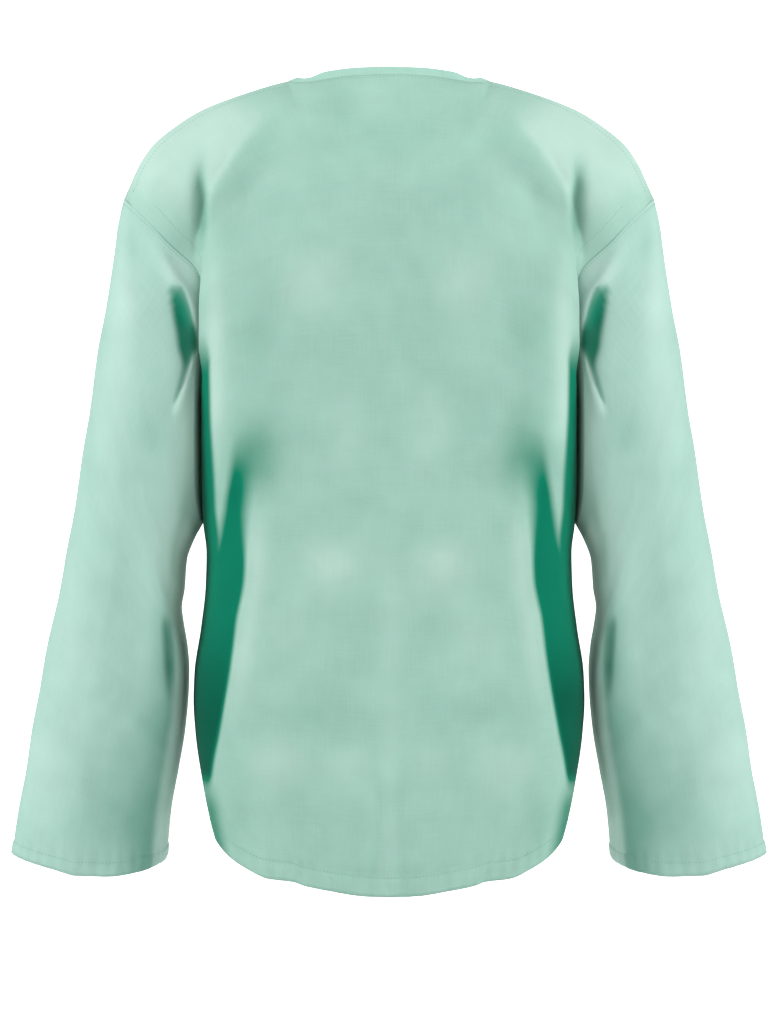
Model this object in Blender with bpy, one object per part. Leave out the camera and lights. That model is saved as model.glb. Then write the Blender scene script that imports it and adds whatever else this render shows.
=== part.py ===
"""Hip-length patient gown that opens down the front, hanging as if worn.

Metres, +Z up. The wearer faces +Y and the wearer's left is -X. The origin lies midway between
the two neck points of the shoulder seams. Every cloth piece is a thin shell on one body surface
or one sleeve surface, cut along the seams of the real garment.
"""
import math

import bpy
import numpy as np
from mathutils import Matrix, Vector

# Cloth and seams
CLOTH = 0.0016              # thickness of one modelled cloth layer
SEAM_GAP = 0.0018           # between two panels that are sewn edge to edge
ARMHOLE_GAP = 0.0030        # between a body panel and the sleeve sewn to it
SPLIT_GAP = 0.0010          # between the fixed side and the flap of one front
LAYER_GAP = 0.0003          # between a panel and a facing that lies on it
NORMAL_STEP = 0.002         # share of a surface over which its normal is measured

# Neck
NECK_HALF_WIDTH = 0.095
NECK_BACK_DEPTH = 0.060     # how far the back neckline stands behind the neck points
NECK_FRONT_DROP = 0.070
NECK_FRONT_DEPTH = 0.105
NECK_SCOOP_POWER = 2.5      # how flat the lowest stretch of the front neckline is
NECK_ROUND_POWER = 0.6      # 0.5 makes the neck an ellipse in plan
BAND_HEIGHT = 0.009
BAND_THICKNESS = 0.003
BAND_GAP = 0.0016
BAND_FADE_POWER = 8         # how late the panels rise to the neck points

# Body, as half-widths at heights, and half-depths at heights
TIP_X = 0.250
TIP_Z = -0.104
UNDERARM_Z = -0.405
EDGE = ((-0.710, 0.165), (-0.655, 0.176), (-0.580, 0.184), (-0.500, 0.177), (-0.440, 0.173),
        (-0.405, 0.175), (-0.300, 0.178), (-0.200, 0.180), (-0.172, 0.184), (-0.134, 0.220),
        (-0.104, 0.250))
SHOULDER = ((0.0, 0.008), (0.095, 0.006), (0.143, -0.010), (0.201, -0.035), (0.222, -0.049),
            (0.239, -0.077), (0.250, -0.104))
HEM = ((0.0, -0.750), (0.055, -0.745), (0.110, -0.736), (0.145, -0.722), (0.165, -0.706))
BACK_DEPTH = ((-0.750, 0.108), (-0.550, 0.112), (-0.300, 0.118), (-0.120, 0.122), (0.010, 0.100))
FRONT_DEPTH = ((-0.750, 0.112), (-0.500, 0.118), (-0.250, 0.122), (-0.100, 0.112), (0.010, 0.090))
SECTION_POWER = 2.4         # 2 is an ellipse, more is squarer
RIDGE = 0.120               # height over which the shoulder rounds from its seam to full depth
ROUNDER_FROM = 0.070        # between these places across, the shoulder grows rounder
ROUNDER_TO = 0.140
ARMHOLE_DEPTH = 0.060

# Sleeve, hanging, as its outer and its inner line in front view
SLEEVE_OUTER = ((0.250, -0.104), (0.254, -0.135), (0.265, -0.193), (0.284, -0.296),
                (0.300, -0.417), (0.318, -0.503), (0.338, -0.600), (0.360, -0.727))
SLEEVE_INNER = ((0.176, -0.405), (0.194, -0.446), (0.199, -0.512), (0.196, -0.575),
                (0.204, -0.655), (0.212, -0.732))
SLEEVE_DEPTH = ((0.0, 0.060), (0.25, 0.068), (0.6, 0.058), (1.0, 0.046))
SLEEVE_FORWARD = 0.022      # how far the cuff swings forward
CUFF_SAG = 0.012            # how far the middle of the cuff hangs below its corners
CUFF_SAG_POWER = 6          # how near the cuff the sag begins
ARMHOLE_FADE = 0.35         # share of the sleeve over which the armhole's shape fades out
SLEEVE_STAND_OFF = 0.004    # between the sleeve and the armhole, just below the seam
STAND_OFF_SHARE = 0.1       # share of the sleeve over which it is reached

# Front opening
OVERLAP = 0.018             # how far each front runs past the middle
LAP_DEPTH = 0.0074          # the under front lies this far inside the over front
LAP_FROM = 0.022            # between these places, from the middle, it comes level again
LAP_TO = 0.060
SPLIT_TOP_X = 0.065
SPLIT_HEM_X = 0.140
FACING_WIDTH = 0.036
FACING_THICKNESS = 0.0010
FACING_END = 0.985          # share of the way down to the hem
HINGE_TOP = (0.0665, 0.1200, -0.0300)    # on the axis about which a flap folds back

# Press studs
STUD_COUNT = 5
STUD_RADIUS = 0.0055
LATHE_STEPS = 14
SHARP_ANGLE = math.radians(40)

# Label
LABEL_HALF_WIDTH = 0.022
LABEL_TOP_Z = -0.012
LABEL_FOOT_Z = -0.042
LABEL_THICKNESS = 0.0006
LABEL_ROWS = 3
LABEL_COLUMNS = 4

# Rows of the body's grid, as shares of the way down from the neckline or shoulder to the hem
SHOULDER_ROWS = (0.0, 0.006, 0.02, 0.04, 0.065)
FIRST_STUD_ROW = 0.09
ROW_STEP = 0.05
ROWS_PER_STUD = 4
NECK_ANGLE = math.asin(NECK_HALF_WIDTH / TIP_X)
NECK_COLUMNS = 5            # from the middle of the back to a neck point
BACK_COLUMNS = 8            # from a neck point to the side of the back
SIDE_NECK_COLUMNS = 3       # from a fold line to a neck point
SIDE_COLUMNS = 7            # from a neck point to the side of a front
FLAP_COLUMNS = 5            # from the facing to a fold line
ANGLE_SLACK = 0.001         # radians by which two columns may differ and still be one
SLEEVE_ROWS = 17
SLEEVE_STEPS = 24

MINT = (0.40, 0.58, 0.51)
WHITE = (0.80, 0.82, 0.81)


def material(name, colour, roughness, metallic=0.0):
    made = bpy.data.materials.new(name)
    made.use_nodes = True
    shader = made.node_tree.nodes["Principled BSDF"]
    shader.inputs["Base Color"].default_value = (*colour, 1.0)
    shader.inputs["Roughness"].default_value = roughness
    shader.inputs["Metallic"].default_value = metallic
    return made


def through(points, at):
    """Smooth curve through (place, value) pairs that never overshoots them, read at a place."""
    place, value = (np.array(column, float) for column in zip(*sorted(points)))
    at = min(max(at, place[0]), place[-1])
    width = np.diff(place)
    slope = np.diff(value) / width
    lean = np.zeros(len(place))
    lean[0], lean[-1] = slope[0], slope[-1]
    for i in range(1, len(place) - 1):
        if slope[i - 1] * slope[i] > 0.0:
            lean[i] = 2.0 / (1.0 / slope[i - 1] + 1.0 / slope[i])
    i = min(int(np.searchsorted(place, at, side="right")) - 1, len(width) - 1)
    u = (at - place[i]) / width[i]
    start = value[i] * (1 + 2 * u) * (1 - u) ** 2 + lean[i] * width[i] * u * (1 - u) ** 2
    end = value[i + 1] * u * u * (3 - 2 * u) + lean[i + 1] * width[i] * u * u * (u - 1)
    return float(start + end)


def along(points, share):
    """Point at a share of the length of a line through (x, z) points."""
    line = np.array(points)
    steps = np.concatenate([[0.0], np.cumsum(np.linalg.norm(np.diff(line, axis=0), axis=1))])
    steps = steps / steps[-1]
    return (through(list(zip(steps, line[:, 0])), share),
            through(list(zip(steps, line[:, 1])), share))


def smooth(start, end, value):
    u = min(max((value - start) / (end - start), 0.0), 1.0)
    return u * u * (3.0 - 2.0 * u)


def mix(a, b, share):
    return a + (b - a) * share


# ---------------------------------------------------------------- body surface

def edge_half_width(z):
    return through(EDGE, z)


def armhole_half_depth(z):
    """Half the front-to-back size of the armhole, which is an ellipse in side view."""
    middle = (TIP_Z + UNDERARM_Z) / 2
    reach = (TIP_Z - UNDERARM_Z) / 2
    u = (z - middle) / reach
    if abs(u) >= 1.0:
        return 0.0
    return ARMHOLE_DEPTH * math.sqrt(1.0 - u * u)


def top_height(side, x):
    """Height of the neckline or shoulder seam above a place across the body."""
    height = through(SHOULDER, abs(x))
    if side > 0 and abs(x) < NECK_HALF_WIDTH:
        scoop = 1.0 - (abs(x) / NECK_HALF_WIDTH) ** NECK_SCOOP_POWER
        height = through(SHOULDER, NECK_HALF_WIDTH) - NECK_FRONT_DROP * scoop
    if abs(x) < NECK_HALF_WIDTH:
        height -= BAND_HEIGHT * (1.0 - (abs(x) / NECK_HALF_WIDTH) ** BAND_FADE_POWER)
    return height


def neck_half_depth(side, x):
    if abs(x) >= NECK_HALF_WIDTH:
        return 0.0
    reach = NECK_FRONT_DEPTH if side > 0 else NECK_BACK_DEPTH
    return reach * (1.0 - (x / NECK_HALF_WIDTH) ** 2) ** NECK_ROUND_POWER


def edge_height(t):
    return mix(TIP_Z, HEM[-1][1], t)


def body_point(side, s, t):
    """Outer surface of the body. side is -1 at the back and +1 at the front.

    s runs across from -1 to 1, t runs down from 0 at the neckline or shoulder to 1 at the hem.
    """
    z_edge = edge_height(t)
    half = edge_half_width(z_edge)
    x = s * half
    z_top = top_height(side, s * TIP_X)
    z = mix(z_top, through(HEM, abs(s) * HEM[-1][0]), t)
    depth = through(FRONT_DEPTH if side > 0 else BACK_DEPTH, z)
    seam = max(armhole_half_depth(z_edge), SEAM_GAP / 2)
    section = max(1.0 - abs(s) ** SECTION_POWER, 0.0) ** (1.0 / SECTION_POWER)
    full = seam + (depth - seam) * section
    at_top = max(neck_half_depth(side, s * TIP_X), SEAM_GAP / 2)
    round_in = mix(1.0, 0.5, smooth(ROUNDER_FROM, ROUNDER_TO, abs(s) * TIP_X))
    share = min((z_top - z) / RIDGE, 1.0)
    rise = (1.0 - (1.0 - share) ** 2) ** round_in
    return Vector((x, side * mix(at_top, full, rise), z))


def body_normal(side, s, t):
    step = NORMAL_STEP
    across = body_point(side, s + step, t) - body_point(side, s - step, t)
    down = body_point(side, s, min(t + step, 1.0)) - body_point(side, s, max(t - step, 0.0))
    normal = across.cross(down)
    if normal.y * side < 0:
        normal.negate()
    return normal.normalized()


def share_at(x, t):
    """The s of a given x on the row t."""
    return x / edge_half_width(edge_height(t))


def row_at(side, z):
    """The t of a given height on the middle line of the body."""
    top = top_height(side, 0.0)
    return (z - top) / (HEM[0][1] - top)


def stud_row(number):
    return FIRST_STUD_ROW + number * ROWS_PER_STUD * ROW_STEP


def split_x(t):
    return mix(SPLIT_TOP_X, SPLIT_HEM_X, t)


def lap(x_own_side):
    """How far the under front lies inside the body surface, by its distance to its own side."""
    return LAP_DEPTH * (1.0 - smooth(LAP_FROM, LAP_TO, x_own_side))


# ---------------------------------------------------------------- meshes

def sheet_object(name, rows, finish, thickness=CLOTH, outward=None, closed=False):
    """A cloth shell from a grid of points on its outer face."""
    count = len(rows[0])
    points = [tuple(point) for row in rows for point in row]
    faces = []
    for j in range(len(rows) - 1):
        for i in range(count if closed else count - 1):
            k = (i + 1) % count
            faces.append((j * count + i, j * count + k, (j + 1) * count + k, (j + 1) * count + i))
    mesh = bpy.data.meshes.new(name)
    mesh.from_pydata(points, [], faces)
    middle = mesh.polygons[len(faces) // 2]
    if middle.normal.dot(outward(Vector(middle.center))) < 0:
        mesh.flip_normals()
    mesh.shade_smooth()
    mesh.materials.append(finish)
    made = bpy.data.objects.new(name, mesh)
    bpy.context.collection.objects.link(made)
    shell = made.modifiers.new("thickness", "SOLIDIFY")
    shell.thickness = thickness
    shell.offset = -1.0
    return made


def lathe_object(name, profile, finish, frame):
    """A round piece turned about its own +Z. The profile may touch the axis at its ends."""
    points, rings = [], []
    for radius, height in profile:
        if radius == 0.0:
            rings.append([len(points)] * LATHE_STEPS)
            points.append((0.0, 0.0, height))
            continue
        rings.append(list(range(len(points), len(points) + LATHE_STEPS)))
        for k in range(LATHE_STEPS):
            turn = 2 * math.pi * k / LATHE_STEPS
            points.append((radius * math.cos(turn), radius * math.sin(turn), height))
    pairs = list(zip(rings, rings[1:]))
    if profile[0][0] != 0.0:
        pairs.append((rings[-1], rings[0]))
    faces = []
    for lower, upper in pairs:
        for k in range(LATHE_STEPS):
            n = (k + 1) % LATHE_STEPS
            corners = [lower[k], lower[n], upper[n], upper[k]]
            faces.append([c for i, c in enumerate(corners) if c not in corners[:i]])
    mesh = bpy.data.meshes.new(name)
    mesh.from_pydata(points, [], faces)
    mesh.transform(frame)
    mesh.shade_smooth()
    mesh.set_sharp_from_angle(angle=SHARP_ANGLE)
    mesh.materials.append(finish)
    made = bpy.data.objects.new(name, mesh)
    bpy.context.collection.objects.link(made)
    return made


def hang_from(pivot, pieces):
    """Parent pieces to an empty that stands on their joint's axis."""
    for piece in pieces:
        piece.data.transform(Matrix.Translation(-pivot.location))
        piece.parent = pivot


def pivot_at(name, place):
    made = bpy.data.objects.new(name, None)
    made.location = place
    made.empty_display_size = 0.03
    bpy.context.collection.objects.link(made)
    return made


# ---------------------------------------------------------------- cloth pieces

def row_shares():
    even = [FIRST_STUD_ROW + k * ROW_STEP for k in range(int((1.0 - FIRST_STUD_ROW) / ROW_STEP))]
    return [*SHOULDER_ROWS, *even, 1.0]


def evenly(first, last, count):
    return [mix(first, last, i / count) for i in range(count + 1)]


def back_angles():
    """Columns of the back as angles, whose sine is s, with one column at each neck point."""
    half = evenly(0.0, NECK_ANGLE, NECK_COLUMNS)
    half += evenly(NECK_ANGLE, math.pi / 2, BACK_COLUMNS)[1:]
    return [-a for a in reversed(half[1:])] + half


def side_angles(t):
    """Columns of a front's fixed side, from the fold line, with one at the neck point."""
    first = math.asin(share_at(split_x(t) + SPLIT_GAP / 2, t))
    top_first = math.asin(share_at(split_x(0.0) + SPLIT_GAP / 2, 0.0))
    kink = (NECK_ANGLE - top_first) / (math.pi / 2 - top_first)
    shares = evenly(0.0, kink, SIDE_NECK_COLUMNS)
    shares += evenly(kink, 1.0, SIDE_COLUMNS)[1:]
    return [mix(first, math.pi / 2, share) for share in shares]


def flap_places(t):
    """Columns of a flap, as distances from the middle towards its own side."""
    last = split_x(t) - SPLIT_GAP / 2
    return [-OVERLAP, 0.0] + evenly(OVERLAP, last, FLAP_COLUMNS)


def make_back_panel():
    rows = [[body_point(-1, math.sin(a), t) for a in back_angles()] for t in row_shares()]
    return sheet_object("back_panel", rows, CLOTH_MINT, outward=lambda p: Vector((0, -1, 0)))


def make_front_side(name, hand):
    """Fixed part of one front: from the fold line to the side seam and the armhole."""
    rows = [[body_point(1, hand * math.sin(a), t) for a in side_angles(t)]
            for t in row_shares()]
    return sheet_object(name, rows, CLOTH_MINT, outward=lambda p: Vector((0, 1, 0)))


def flap_point(hand, x_own_side, t, inside=0.0):
    """Point on a flap by its distance from the middle towards its own side."""
    s = share_at(hand * x_own_side, t)
    point = body_point(1, s, t)
    if hand > 0:
        inside = inside + lap(x_own_side)
    return point - body_normal(1, s, t) * inside


def make_front_flap(name, hand):
    """Moving part of one front, from past the middle to the fold line."""
    rows = [[flap_point(hand, x, t) for x in flap_places(t)] for t in row_shares()]
    return sheet_object(name, rows, CLOTH_MINT, outward=lambda p: Vector((0, 1, 0)))


def make_facing(name, hand):
    """Strip of cloth sewn inside the free edge of a front, where the press studs are."""
    first = -OVERLAP
    rows = []
    for t in [*row_shares()[1:-1], FACING_END]:
        rows.append([flap_point(hand, first + FACING_WIDTH * i / 2, t, CLOTH + LAYER_GAP)
                     for i in range(3)])
    return sheet_object(name, rows, CLOTH_MINT, FACING_THICKNESS, lambda p: Vector((0, 1, 0)))


def band_rows(line, normals):
    """Two lines of points beside a neckline, in the cloth's own plane, away from the cloth."""
    rows = [[], []]
    for i, point in enumerate(line):
        along_edge = line[min(i + 1, len(line) - 1)] - line[max(i - 1, 0)]
        away = along_edge.cross(normals[i]).normalized()
        if away.z < 0:
            away.negate()
        middle = point + normals[i] * (BAND_THICKNESS - CLOTH) / 2
        rows[0].append(middle + away * BAND_GAP)
        rows[1].append(middle + away * BAND_HEIGHT)
    return rows


def make_neck_band_back():
    """Fixed stretch of the neck binding, round the back and a little way down each front."""
    line, normals = [], []
    front = side_angles(0.0)[:SIDE_NECK_COLUMNS]
    back = [a for a in back_angles() if abs(a) < NECK_ANGLE + ANGLE_SLACK]
    for side, angles in ((1, [-a for a in front]), (-1, back), (1, reversed(front))):
        for a in angles:
            line.append(body_point(side, math.sin(a), 0.0))
            normals.append(body_normal(side, math.sin(a), 0.0))
    rows = band_rows(line, normals)
    return sheet_object("neck_band_back", rows, CLOTH_MINT, BAND_THICKNESS,
                        lambda p: Vector((0, p.y, 0)))


def make_neck_band(name, hand):
    """Moving stretch of the neck binding, on the top edge of a flap."""
    line = [flap_point(hand, x, 0.0) for x in flap_places(0.0)]
    normals = [body_normal(1, share_at(hand * x, 0.0), 0.0) for x in flap_places(0.0)]
    return sheet_object(name, band_rows(line, normals), CLOTH_MINT, BAND_THICKNESS,
                        lambda p: Vector((0, 1, 0)))


def make_label():
    """Blank label tab inside the back neck."""
    inside = CLOTH + 2 * LAYER_GAP
    rows = []
    for z in evenly(LABEL_TOP_Z, LABEL_FOOT_Z, LABEL_ROWS):
        t = row_at(-1, z)
        row = []
        for x in evenly(-LABEL_HALF_WIDTH, LABEL_HALF_WIDTH, LABEL_COLUMNS):
            s = share_at(x, t)
            row.append(body_point(-1, s, t) - body_normal(-1, s, t) * inside)
        rows.append(row)
    return sheet_object("neck_label", rows, LABEL_WHITE, LABEL_THICKNESS,
                        lambda p: Vector((0, -1, 0)))


# ---------------------------------------------------------------- sleeves

def sleeve_point(hand, t, turn):
    """Outer surface of a sleeve. t runs down from 0 at the armhole to 1 at the cuff.

    turn is 0 on the outer line, pi on the inner line, and half way at the front.
    """
    outer = along(SLEEVE_OUTER, t)
    inner = along(SLEEVE_INNER, t)
    lean = (1 + math.cos(turn)) / 2
    x = mix(inner[0], outer[0], lean)
    z = mix(inner[1], outer[1], lean)
    z_armhole = mix(UNDERARM_Z, TIP_Z, lean)
    x_armhole = mix(SLEEVE_INNER[0][0], SLEEVE_OUTER[0][0], lean)
    fade = 1.0 - smooth(0.0, ARMHOLE_FADE, t)
    x += (edge_half_width(z_armhole) - x_armhole) * fade
    x += ARMHOLE_GAP + SLEEVE_STAND_OFF * smooth(0.0, STAND_OFF_SHARE, t) * fade
    y = math.sin(turn) * through(SLEEVE_DEPTH, t) + SLEEVE_FORWARD * t * t
    z -= CUFF_SAG * t ** CUFF_SAG_POWER * abs(math.sin(turn))
    return Vector((hand * x, y, z))


def make_sleeve(name, hand):
    rows = []
    for j in range(SLEEVE_ROWS + 1):
        t = j / SLEEVE_ROWS
        rows.append([sleeve_point(hand, t, 2 * math.pi * k / SLEEVE_STEPS)
                     for k in range(SLEEVE_STEPS)])
    middle = sum((p for row in rows for p in row), Vector()) / (len(rows) * SLEEVE_STEPS)
    return sheet_object(name, rows, CLOTH_MINT, outward=lambda p: p - middle, closed=True)


# ---------------------------------------------------------------- press studs

# Each profile is (radius, height) in metres above the piece's own base.
CAP_PROFILE = ((0.0, 0.0), (0.0050, 0.0), (STUD_RADIUS, 0.0005), (0.0044, 0.0012), (0.0, 0.0015))
SOCKET_PROFILE = ((0.0, 0.0), (0.0048, 0.0), (0.0048, 0.0007), (0.0038, 0.0018), (0.0023, 0.0018),
                  (0.0023, 0.0005), (0.0, 0.0005))
STUD_PROFILE = ((0.0, 0.0), (0.0048, 0.0), (0.0048, 0.0005), (0.0024, 0.0009), (0.0016, 0.0013),
                (0.0019, 0.0024), (0.0013, 0.0030), (0.0, 0.0031))
RING_PROFILE = ((0.0030, 0.0), (0.0048, 0.0), (0.0050, 0.0006), (0.0045, 0.0010), (0.0030, 0.0006))
CAP_BASE = 0.0003
SOCKET_BASE = -0.0032
STUD_BASE = -0.0071
RING_BASE = -0.0106


def make_press_stud(number):
    t = stud_row(number)
    place = body_point(1, 0.0, t)
    outward = body_normal(1, 0.0, t)
    turned = outward.to_track_quat("Z", "Y").to_matrix().to_4x4()
    over, under = [], []
    for kind, profile, base, faces_out, group in (
            ("cap", CAP_PROFILE, CAP_BASE, True, over),
            ("socket", SOCKET_PROFILE, SOCKET_BASE, False, over),
            ("stud", STUD_PROFILE, STUD_BASE, True, under),
            ("ring", RING_PROFILE, RING_BASE, False, under)):
        flip = Matrix() if faces_out else Matrix.Rotation(math.pi, 4, "X")
        frame = Matrix.Translation(place + outward * base) @ turned @ flip
        group.append(lathe_object(f"press_stud_{number + 1}_{kind}", profile, STUD_WHITE, frame))
    return over, under


# ---------------------------------------------------------------- the gown

for old in list(bpy.data.objects):
    bpy.data.objects.remove(old, do_unlink=True)

CLOTH_MINT = material("mint_cloth", MINT, 0.9)
LABEL_WHITE = material("label_cloth", WHITE, 0.8)
STUD_WHITE = material("stud_plastic", WHITE, 0.4)

make_back_panel()
make_front_side("front_left_side", -1)
make_front_side("front_right_side", 1)
make_neck_band_back()
make_label()

over_pieces = [make_front_flap("front_left_flap", -1), make_facing("front_left_facing", -1),
               make_neck_band("neck_band_left", -1)]
under_pieces = [make_front_flap("front_right_flap", 1), make_facing("front_right_facing", 1),
                make_neck_band("neck_band_right", 1)]
for index in range(STUD_COUNT):
    over_part, under_part = make_press_stud(index)
    over_pieces += over_part
    under_pieces += under_part

for hand, word, flap_pieces in ((-1, "left", over_pieces), (1, "right", under_pieces)):
    hinge = pivot_at(f"front_{word}_hinge", (hand * HINGE_TOP[0], *HINGE_TOP[1:]))
    hang_from(hinge, flap_pieces)
    shoulder = pivot_at(f"sleeve_{word}_pivot", (hand * TIP_X, 0.0, TIP_Z))
    hang_from(shoulder, [make_sleeve(f"sleeve_{word}", hand)])
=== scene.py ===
"""Looks of the patient gown: thin mint cloth, hanging as if worn, seen from behind.

Metres, +Z up. The wearer faces +Y, so the camera stands at -Y and looks at the back.
"""
import math

import bmesh
import bpy
import numpy as np
from mathutils import Matrix, Vector


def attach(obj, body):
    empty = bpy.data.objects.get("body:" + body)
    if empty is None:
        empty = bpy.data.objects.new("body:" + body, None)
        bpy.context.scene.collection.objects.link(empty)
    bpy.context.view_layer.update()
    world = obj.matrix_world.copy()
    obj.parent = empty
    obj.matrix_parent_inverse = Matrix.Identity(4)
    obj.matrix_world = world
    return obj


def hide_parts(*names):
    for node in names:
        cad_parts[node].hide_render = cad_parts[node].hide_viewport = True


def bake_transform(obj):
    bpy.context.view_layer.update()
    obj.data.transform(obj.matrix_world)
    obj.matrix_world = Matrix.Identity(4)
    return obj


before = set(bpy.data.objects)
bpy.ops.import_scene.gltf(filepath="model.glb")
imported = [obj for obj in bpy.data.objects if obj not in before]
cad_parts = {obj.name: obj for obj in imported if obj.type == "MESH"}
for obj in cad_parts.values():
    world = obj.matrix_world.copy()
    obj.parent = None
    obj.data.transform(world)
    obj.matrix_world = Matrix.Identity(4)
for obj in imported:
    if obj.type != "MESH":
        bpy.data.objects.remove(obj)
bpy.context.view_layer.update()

# -------------------- the camera's place

VIEW_DISTANCE = 2.8         # camera to the plane of the shoulder seams
VIEW_HEIGHT = -0.4018
VIEW_TALL = 0.9747          # what the picture spans at that plane
VIEW_X = -0.0038

# -------------------- the garment's lines

NECK_HALF_WIDTH = 0.095
NECK_BACK_DEPTH = 0.058
NECK_FRONT_DEPTH = 0.105
NECK_FRONT_DROP = 0.072
BAND_HEIGHT = 0.009
BAND_THICKNESS = 0.0024

TIP_X = 0.2515
TIP_Z = -0.104
UNDERARM_Z = -0.408
HEM_EDGE_Z = -0.706         # the hem's end, at the side seam
# Half the body's width where its edge turns away from the camera, at heights
EDGE = ((-0.706, 0.1648), (-0.69, 0.169), (-0.655, 0.1758), (-0.609, 0.1824),
        (-0.578, 0.1843), (-0.552, 0.1834), (-0.51, 0.1772), (-0.47, 0.1728),
        (-0.44, 0.172), (-0.408, 0.1755), (-0.36, 0.1765), (-0.3, 0.176),
        (-0.265, 0.1715), (-0.235, 0.168), (-0.205, 0.169), (-0.1786, 0.177),
        (-0.15, 0.2054), (-0.134, 0.2204), (-0.118, 0.237), (-0.104, 0.2515))
# How far that edge stands out towards the front and the back, at heights
ARMHOLE_DEPTH = ((-0.408, 0.0), (-0.38, 0.012), (-0.33, 0.021), (-0.29, 0.028),
                 (-0.25, 0.038), (-0.21, 0.054), (-0.1786, 0.065), (-0.15, 0.062),
                 (-0.13, 0.05), (-0.115, 0.034), (-0.108, 0.018), (-0.104, 0.0))
# Height of the shoulder line, by distance from the middle
SHOULDER = ((0.0, 0.0151), (0.035, 0.0144), (0.056, 0.0128), (0.076, 0.0105),
            (0.095, 0.008), (0.11, 0.0045), (0.1264, -0.0004), (0.1539, -0.0097),
            (0.1796, -0.0205), (0.208, -0.039), (0.224, -0.053), (0.237, -0.072),
            (0.2465, -0.093), (0.2515, -0.104))
HEM_END = 0.1648
BACK_HEM = ((0.0, -0.7535), (0.0248, -0.7525), (0.0541, -0.748), (0.078, -0.7435),
            (0.088, -0.7402), (0.112, -0.738), (0.1285, -0.7315), (0.1475, -0.721),
            (HEM_END, HEM_EDGE_Z))
FRONT_HEM = ((0.0, -0.75), (0.055, -0.745), (0.11, -0.736), (0.145, -0.722),
             (HEM_END, HEM_EDGE_Z))
BACK_DEPTH = ((-0.75, 0.104), (-0.6, 0.112), (-0.45, 0.114), (-0.3, 0.118),
              (-0.15, 0.122), (-0.05, 0.115), (0.02, 0.1))
FRONT_DEPTH = ((-0.75, 0.112), (-0.5, 0.118), (-0.25, 0.122), (-0.1, 0.112),
               (0.01, 0.09))
# How square the body's cross-section is, at heights: 2 is an ellipse
BACK_POWER = ((-0.75, 2.6), (-0.6, 3.2), (-0.45, 3.2), (-0.34, 2.7), (-0.2, 2.4),
              (0.0, 2.3))
FRONT_POWER = 2.5
RIDGE = {-1: 0.115, 1: 0.12}    # height over which the shoulder rounds to full depth
ARMHOLE_RIDGE = 0.012           # and beside the armhole

SLEEVE_OUTER = ((0.2515, -0.104), (0.2537, -0.114), (0.2584, -0.152), (0.2679, -0.209),
                (0.2755, -0.247), (0.2831, -0.304), (0.2898, -0.342), (0.2983, -0.399),
                (0.3059, -0.437), (0.3126, -0.475), (0.3259, -0.532), (0.3325, -0.57),
                (0.3401, -0.608), (0.3458, -0.646), (0.3534, -0.684), (0.36, -0.7258))
SLEEVE_INNER = ((0.1755, -0.408), (0.1868, -0.4285), (0.1935, -0.4475), (0.1958, -0.475),
                (0.199, -0.494), (0.1976, -0.508), (0.1938, -0.532), (0.1922, -0.553),
                (0.1927, -0.572), (0.1958, -0.608), (0.2025, -0.648), (0.2095, -0.686),
                (0.214, -0.7315))
# The sleeve's half depth, by share of its length
SLEEVE_DEPTH = ((0.0, 0.06), (0.12, 0.076), (0.3, 0.072), (0.6, 0.06), (1.0, 0.046))
OUTER_POWER = 2.25          # how square the sleeve's cross-section is, on each side
INNER_POWER = (3.1, 5.5)    # at the armhole and lower down
SLEEVE_FORWARD = 0.022      # how far the cuff hangs forwards
TUBE_RADIUS, OUTER_LENGTH = 0.06, 0.62  # of the sleeve, for its place on the flat cloth
# The cuff sags between its corners: how far, by share of the way from outer to inner
CUFF_SAG = ((0.0, 0.0), (0.09, 0.0036), (0.316, 0.0108), (0.45, 0.0152), (0.63, 0.015),
            (0.858, 0.0088), (1.0, 0.0))

OVERLAP = 0.018
LAP_DEPTH = 0.0074          # the under front lies this far inside the over front
FOLD_TOP = (0.0665, -0.03)  # x and z of the line where each front folds back
FOLD_HEM = (0.1395, -0.725)
FOLD_BAND = 0.053           # width of the cloth that turns there
SHOULDER_BAND = ((0.252, -0.1045), (0.3055, -0.1176))   # x and z across a sleeve's turn
FACING_WIDTH = 0.036
HALF_LAYER = 0.0008         # from a panel's outer face to its middle
FACING_DEPTH = 0.0024

BODY_HEM = 0.019            # height of the turned hem
CUFF_HEM = 0.0125
CLOTH = 0.0007
SIDE_WORD = {-1: "left", 1: "right"}    # by the sign of x


class Line:
    """Smooth curve through (place, value) pairs that never overshoots them."""

    def __init__(self, points):
        pairs = np.array(sorted(points), float)
        self.place, self.value = pairs[:, 0], pairs[:, 1]
        width = np.diff(self.place)
        slope = np.diff(self.value) / width
        self.lean = np.concatenate([[slope[0]], np.zeros(len(slope) - 1), [slope[-1]]])
        for i in range(1, len(slope)):
            if slope[i - 1] * slope[i] > 0.0:
                self.lean[i] = 2.0 / (1.0 / slope[i - 1] + 1.0 / slope[i])

    def __call__(self, at):
        at = np.clip(np.asarray(at, float), self.place[0], self.place[-1])
        i = np.clip(np.searchsorted(self.place, at, side="right") - 1, 0, len(self.place) - 2)
        width = self.place[i + 1] - self.place[i]
        u = (at - self.place[i]) / width
        return (self.value[i] * (1 + 2 * u) * (1 - u) ** 2
                + self.lean[i] * width * u * (1 - u) ** 2
                + self.value[i + 1] * u * u * (3 - 2 * u)
                + self.lean[i + 1] * width * u * u * (u - 1))


def smooth(start, end, value):
    """0 up to start and 1 from end, with an even curve between."""
    u = np.clip((np.asarray(value, float) - start) / (end - start), 0.0, 1.0)
    return u * u * (3.0 - 2.0 * u)


def fade(start, end, value):
    return 1.0 - smooth(start, end, value)


def window(rise, fall, value):
    """1 between two ranges, easing in over the first and out over the second."""
    return smooth(*rise, value) * fade(*fall, value)


def mix(a, b, share):
    return a + (b - a) * share


def bell(distance, width):
    return np.exp(-(distance / width) ** 2)


def unit(v):
    return v / np.maximum(np.linalg.norm(v, axis=-1, keepdims=True), 1e-12)


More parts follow.
